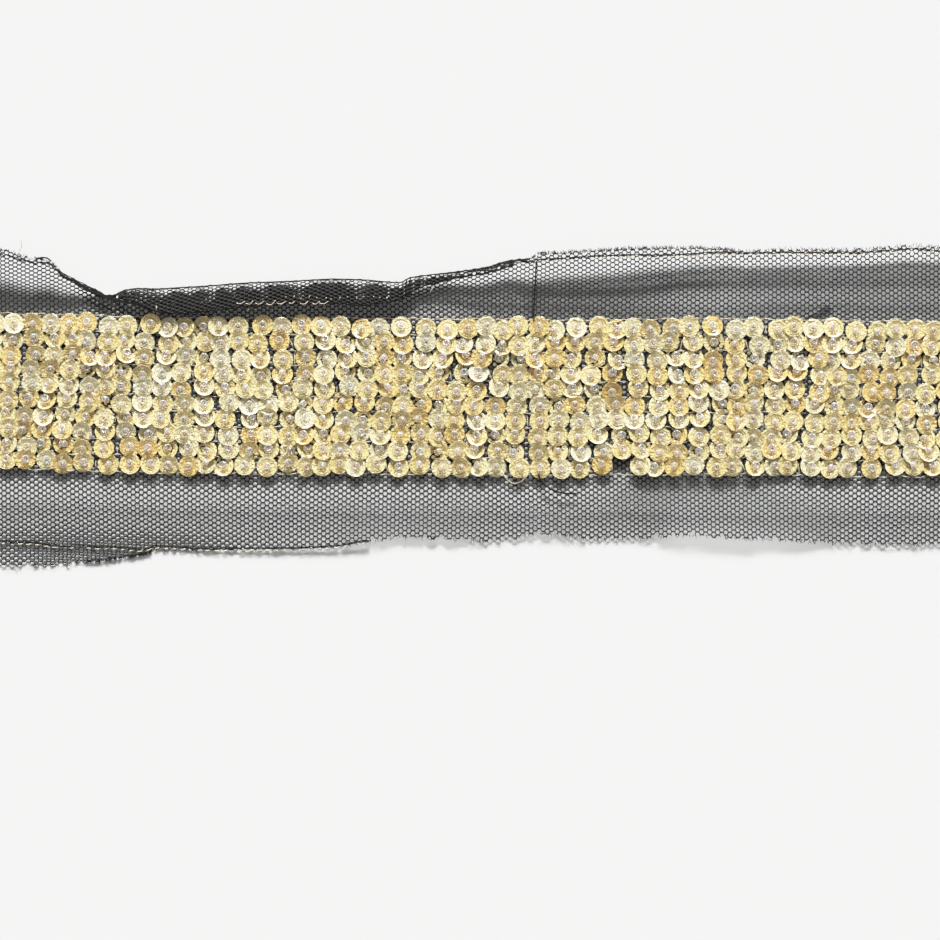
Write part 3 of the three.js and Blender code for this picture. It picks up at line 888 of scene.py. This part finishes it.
def add_flap_stitches(threads):
    count, first, step, line = DOTS
    for s in range(count):
        px = first + step * s + 1.8 * scatter(s, 0, 31)
        py = line - 1.2 * scatter(s, 0, 32) + (0.02 * (px - 286) if px < 340 else 0)
        tall = 0.8 + 0.8 * (scatter(s, 0, 33) > 0.5)
        dot = ((px - 0.5, py + tall, 3.0), (px, py, 3.5), (px + 0.5, py - tall, 3.2))
        threads.add(curve_through(dot, 3), DOT_THREAD)
    count, first, step, line = CURLS
    for s in range(count):
        px = first + step * s + 1.5 * scatter(s, 1, 31)
        wide = 4.0 + 1.0 * scatter(s, 1, 32)
        deep = 1.7 + 0.7 * scatter(s, 1, 33)
        left, right = (px - wide, line + deep * 0.4, 3.2), (px + wide, line - deep, 3.3)
        threads.add(curve_through((left, (px, line + 0.2 + deep, 3.4), right), 5), CURL_THREAD)


# Loose threads, as pixels and heights in mm
LOOSE_CREAM = (
    ((503, 473, 1.2), (505, 477, 1.3), (509, 481, 1.2), (514, 483.5, 1.1), (520, 482, 1.1),
     (525, 478, 1.2), (529, 473, 1.2)),
    ((157, 305.5, 3.0), (157.6, 308.5, 3.2), (157, 311.5, 2.8)),
    ((430, 293, 2.9), (432, 290, 3.4), (434, 286, 3.5)),
    ((249, 307, 2.6), (249.5, 309.5, 2.7), (248, 312, 2.4)),
    ((21, 252, 3.9), (23.5, 248, 4.1), (23.5, 244, 4.3), (23, 241, 4.4)),
)
# The fold's root, where the flap leaves the raised corner of the margin
FOLD_ROOT = (
    (74, 280, 2.3), (83, 287.3, 2.2), (96, 293.5, 2.0), (112, 298.8, 2.0), (123, 301.5, 2.4),
    (144, 305.5, 3.0), (155, 309.5, 3.0),
)
ROOT_THREADS, ROOT_SPREAD = 7, 4.2  # the spread in pixels
LOOSE_BLACK = (
    ((536.3, 261.5, 3.6), (535.6, 273, 3.3), (535, 285, 2.2), (534.2, 301, 1.5), (533.8, 312, 1.5),
     (533.8, 322, 1.6)),
    ((538, 474, 1.5), (541, 480, 1.5), (546, 486, 1.6), (553, 490, 1.6), (563, 493, 1.6),
     (577, 493.5, 1.5)),
    ((37, 260, 3.9), (43, 258.6, 4.0), (49, 259, 4.0), (53, 262, 3.9)),
)
# A dark diagonal streak below the upper margin, drawn as thin black threads side by side
DARK_STREAK = ((806, 321, 0.25), (818, 315, 0.25), (831, 307, 0.25))
DARK_STREAK_COUNT, DARK_STREAK_STEP = 5, (0.8, 1.3)  # the step in pixels


def curve_through(points, steps=8):
    """A smooth line through a few points of the photograph."""
    placed = [(*photo_point(px, py), z) for px, py, z in points]
    return smooth_line(np.array(placed)[None], steps)[0]


# The fringe: where it begins and ends in pixels, how many threads, and 1 on the upper raw edge
FRINGE = (
    (-45, 62, 110, 1), (525, 735, 420, 1), (735, 985, 240, 1), (-43, 983, 420, -1), (85, 152, 260, -1),
)


def build_fringe(cloth, black):
    """Short cut ends of thread that stand out of the raw edges."""
    rng = np.random.default_rng(SEED + 3)
    threads = ThreadMesh(sides=3)
    places = [rng.uniform(photo_x(first), photo_x(last), count) for first, last, count, _ in FRINGE]
    t = np.linspace(0, 1, 4)
    for us, (*_, way) in zip(places, FRINGE):
        for u in us:
            slant = rng.normal(0, 0.35)
            length = rng.uniform(0.3, 1.1) * way
            bend = rng.normal(0, 0.25)
            v = cloth.edge(u, way > 0) - 0.55 * way + length * t
            rise = 0.1 + 0.3 * t * rng.normal(0.3, 0.5)
            threads.add(cloth.at(u + slant * t + bend * t * t, v, rise), FRINGE_THREAD)
    threads.build("raw_edge_fringe", black)


def build_loose_threads(black, cream):
    light = ThreadMesh()
    for points in LOOSE_CREAM:
        light.add(curve_through(points), LOOSE_LIGHT)
    light.build("loose_ends_cream", cream)
    dark = ThreadMesh()
    for k in range(ROOT_THREADS):
        aside = ROOT_SPREAD * (k / (ROOT_THREADS - 1) - 0.5)
        root = np.array(FOLD_ROOT)
        root[:, 1] += [aside * (0.6 + 0.4 * scatter(i, k, 41)) for i in range(len(root))]
        root[:, 2] -= 0.12 * (k % 2)
        dark.add(curve_through(root), ROOT_THREAD)
    for points in LOOSE_BLACK:
        dark.add(curve_through(points), LOOSE_DARK)
    # the dark diagonal streak below the upper margin
    for k in range(DARK_STREAK_COUNT):
        aside = k - (DARK_STREAK_COUNT - 1) / 2
        streak = [(px + DARK_STREAK_STEP[0] * aside, py + DARK_STREAK_STEP[1] * aside, z) for px, py, z in DARK_STREAK]
        dark.add(curve_through(streak), DARK_STREAK_THREAD)
    dark.build("loose_ends_black", black)


def plug(tree, value, socket):
    """Links another node's output to a socket, or sets the socket to a plain value."""
    if isinstance(value, bpy.types.NodeSocket):
        tree.links.new(value, socket)
    else:
        socket.default_value = value


def add_node(tree, kind, inputs=(), **settings):
    made = tree.nodes.new(kind)
    for key, value in settings.items():
        setattr(made, key, value)
    for key, value in dict(inputs).items():
        plug(tree, value, made.inputs[key])
    return made


def maths(tree, operation, *values):
    return add_node(tree, "ShaderNodeMath", enumerate(values), operation=operation).outputs["Value"]


class Shader:
    """A short way to write a material's nodes."""

    def __init__(self, name):
        self.material = bpy.data.materials.new(name)
        self.material.use_nodes = True
        self.tree = self.material.node_tree
        self.surface = self.tree.nodes["Principled BSDF"]
        self.node = partial(add_node, self.tree)

    def set(self, **values):
        for key, value in values.items():
            plug(self.tree, value, self.surface.inputs[key.replace("_", " ")])

    def attribute(self, name):
        return self.node("ShaderNodeAttribute", attribute_name=name).outputs["Fac"]

    def noise(self, scale, detail=2.0, stretch=(1, 1, 1)):
        place = self.node("ShaderNodeTexCoord").outputs["Object"]
        place = self.node("ShaderNodeMapping", {"Vector": place, "Scale": stretch}).outputs["Vector"]
        inputs = {"Vector": place, "Scale": scale, "Detail": detail}
        return self.node("ShaderNodeTexNoise", inputs).outputs["Fac"]

    def ramp(self, value, stops):
        made = self.node("ShaderNodeValToRGB", {"Fac": value})
        while len(made.color_ramp.elements) < len(stops):
            made.color_ramp.elements.new(0.5)
        for element, (place, colour) in zip(made.color_ramp.elements, stops):
            element.position = place
            element.color = (*colour, 1)
        return made.outputs["Color"]

    def bump(self, height, distance, strength=1.0):
        sockets = {"Height": height, "Distance": distance * MM, "Strength": strength}
        self.set(Normal=self.node("ShaderNodeBump", sockets).outputs["Normal"])


def tulle_material():
    s = Shader("black_tulle")
    blacks = [(0.3, (0.009, 0.0085, 0.008)), (0.7, (0.021, 0.02, 0.018))]
    s.set(Base_Color=s.ramp(s.noise(900), blacks))
    s.set(Roughness=0.62)
    s.set(Sheen_Weight=0.05, Sheen_Roughness=0.4, Specular_IOR_Level=0.35)
    s.bump(s.noise(9000, 3.0), 0.03, 0.6)
    return s.material


# The gold of a cup by its tone, from 0 to 1
GOLDS = [
    (0.0, (0.90, 0.60, 0.17)),
    (0.3, (1.0, 0.75, 0.28)),
    (0.7, (1.0, 0.82, 0.37)),
    (1.0, (1.0, 0.90, 0.54)),
]
# The tint of a bead's glass by its tone
BEAD_TINTS = [
    (0.0, (1.0, 0.86, 0.62)),
    (0.35, (1.0, 0.91, 0.72)),
    (0.6, (1.0, 0.88, 0.78)),
    (0.85, (0.99, 0.95, 0.86)),
]


def sequin_material():
    s = Shader("champagne_sequin")
    s.set(Base_Color=s.ramp(s.attribute("tone"), GOLDS))
    rough = s.node("ShaderNodeMapRange", {"Value": s.noise(900), "To Min": 0.16, "To Max": 0.36})
    s.set(Metallic=0.12, Roughness=rough.outputs["Result"], Transmission_Weight=0.05)
    s.set(Coat_Weight=1.0, Coat_Roughness=0.11, Coat_IOR=2.0)
    rings = maths(s.tree, "SINE", maths(s.tree, "MULTIPLY", s.attribute("reach"), 26.0))
    s.bump(maths(s.tree, "MULTIPLY_ADD", s.noise(1700, 3.0), 13.0, rings), 0.055)
    return s.material


def bead_material():
    s = Shader("clear_bead")
    s.set(Base_Color=s.ramp(s.attribute("tone"), BEAD_TINTS), Roughness=0.1)
    s.set(Transmission_Weight=0.72, IOR=1.45, Coat_Weight=0.9, Coat_Roughness=0.08)
    s.set(Thin_Film_Thickness=380.0, Thin_Film_IOR=1.6, Alpha=0.74)
    s.bump(s.noise(1600, 3.0), 0.12)
    return s.material


def thread_material(name, dark, light):
    s = Shader(name)
    s.set(Base_Color=s.ramp(s.noise(2500), [(0.3, dark), (0.7, light)]), Roughness=0.7)
    s.set(Sheen_Weight=0.05, Specular_IOR_Level=0.2)
    s.bump(s.noise(6000, 3.0, (1, 3, 1)), 0.03, 0.6)
    return s.material


def build_stage():
    """A plain pale floor."""
    mesh = bpy.data.meshes.new("floor")
    corners = [(x * FLOOR_HALF, y * FLOOR_HALF, 0) for x, y in ((-1, -1), (1, -1), (1, 1), (-1, 1))]
    mesh.from_pydata(corners, [], [(0, 1, 2, 3)])
    floor = add_object("floor", mesh)
    s = Shader("pale_floor")
    s.set(Base_Color=(*FLOOR_COLOUR, 1), Roughness=0.9)
    mesh.materials.append(s.material)


def build_light():
    """Soft light from beyond the trim's upper margin: a low sun and a sky that is brightest there."""
    height = math.radians(LIGHT_HEIGHT)
    towards = Vector((0.06, math.cos(height), math.sin(height))).normalized()
    sun = bpy.data.lights.new("window", "SUN")
    sun.energy = SUN_STRENGTH
    sun.angle = math.radians(SUN_WIDTH)
    lamp = add_object("window", sun)
    lamp.rotation_mode = "QUATERNION"
    lamp.rotation_quaternion = towards.to_track_quat("Z", "Y")
    world = bpy.data.worlds.new("room")
    bpy.context.scene.world = world
    world.use_nodes = True
    tree = world.node_tree

    node = partial(add_node, tree)
    way = node("ShaderNodeTexCoord").outputs["Generated"]

    def along(axis):
        return node("ShaderNodeVectorMath", {0: way, 1: axis}, operation="DOT_PRODUCT").outputs["Value"]

    def inside(axis, half):
        """1 where the way along axis is between -half and half, with a soft border."""
        size = maths(tree, "ABSOLUTE", along(axis))
        limits = {"Value": size, "From Min": half + WINDOW_SOFT, "From Max": half - WINDOW_SOFT}
        return node("ShaderNodeMapRange", limits, interpolation_type="SMOOTHSTEP").outputs["Result"]

    sideways = Vector((1, 0, 0))
    pane = inside(sideways, WINDOW_HALF_WIDTH)
    lit = maths(tree, "MULTIPLY", pane, inside(sideways.cross(towards), WINDOW_HALF_HEIGHT))
    lit = maths(tree, "MULTIPLY", lit, maths(tree, "GREATER_THAN", along(towards), 0.0))
    sky = tree.nodes["Background"]
    plug(tree, (0.99, 0.995, 1.0, 1), sky.inputs["Color"])
    plug(tree, maths(tree, "MULTIPLY_ADD", lit, WINDOW_STRENGTH, SKY), sky.inputs["Strength"])


def build_camera():
    data = bpy.data.cameras.new("camera")
    data.lens = data.sensor_width * CAMERA_HEIGHT * PIXELS_PER_MM / PIXELS
    data.clip_end = 20.0
    camera = add_object("camera", data)
    camera.location = (VIEW_MIDDLE[0] * MM, VIEW_MIDDLE[1] * MM, CAMERA_HEIGHT * MM)
    bpy.context.scene.camera = camera


def set_tones():
    """Plain colours, with the brightest tones drawn together as in the photograph."""
    view = bpy.context.scene.view_settings
    view.view_transform = "Standard"
    view.use_curve_mapping = True
    mapping = view.curve_mapping
    brightest = TONE_CURVE[-1][0]
    mapping.white_level = (brightest,) * 3
    for before, after in TONE_CURVE[:-1]:
        mapping.curves[3].points.new(before / brightest, after)
    mapping.update()


def main():
    build_camera()
    build_stage()
    build_light()
    set_tones()
    cloth = Cloth()
    black = thread_material("black_thread", (0.005, 0.0045, 0.004), (0.015, 0.014, 0.013))
    cream = thread_material("cream_thread", (0.55, 0.45, 0.28), (0.88, 0.80, 0.62))
    for piece, (low, high), covered in build_net(cloth, tulle_material()):
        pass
    cups = place_sequins()
    build_sequins(cups, sequin_material())
    build_beads(cups, bead_material())
    build_row_threads(cream)
    build_bead_threads(cups, cream)
    build_stitches(cloth, black, cream)
    build_fringe(cloth, black)
    build_loose_threads(black, cream)


main()
